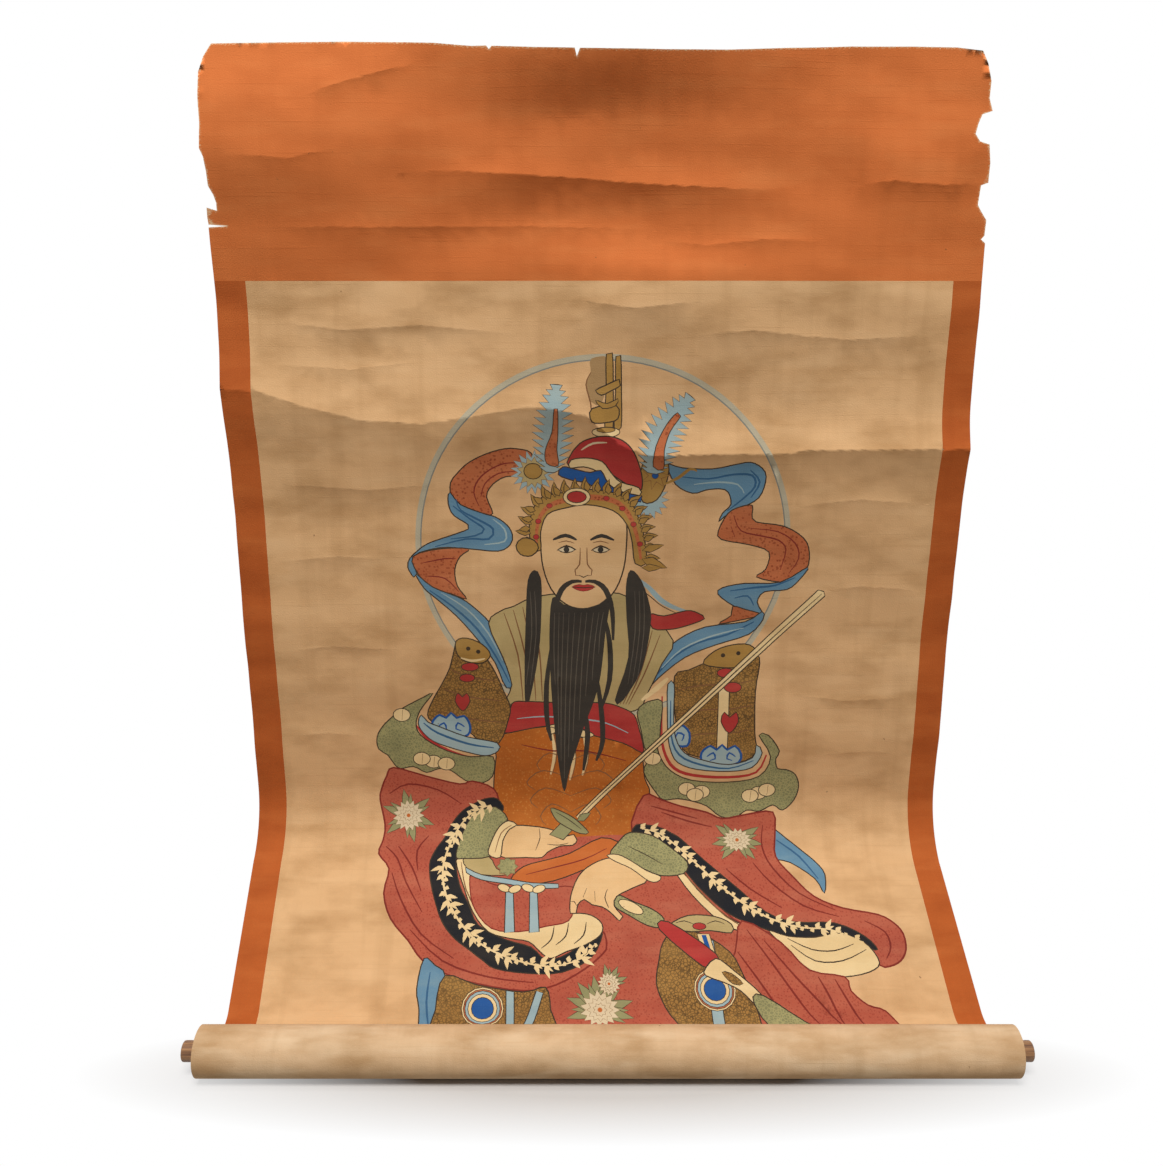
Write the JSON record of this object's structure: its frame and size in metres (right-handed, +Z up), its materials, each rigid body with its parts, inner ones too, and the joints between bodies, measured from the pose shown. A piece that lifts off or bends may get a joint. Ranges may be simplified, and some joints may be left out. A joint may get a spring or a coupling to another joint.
{
  "type": "paper scroll",
  "caption": "Hanging paper scroll, partly unrolled: a backed and bordered picture sheet bends forward from its hanging edge to a paper roll wound on a wooden rod.",
  "frame": {"origin": "middle of the worn top edge, on the back face of the backing paper, where the scroll is hung", "axes": "+Z up along the hanging part, +X to the viewer's right along the roll, +Y away from the viewer"},
  "size_m": [0.665, 0.2432, 0.7858],
  "materials": {
    "backing_paper": "matt, aged",
    "orange_paper": "matt, brushed with pigment, worn",
    "picture_paper": "matt, aged, painted",
    "rod_wood": "bare, darkened"
  },
  "bodies": {
    "root": {"backing_sheet": "backing_paper", "heaven_panel": "orange_paper", "left_border": "orange_paper", "right_border": "orange_paper", "picture_panel": "picture_paper", "roller": "rod_wood"}
  },
  "joints": []
}
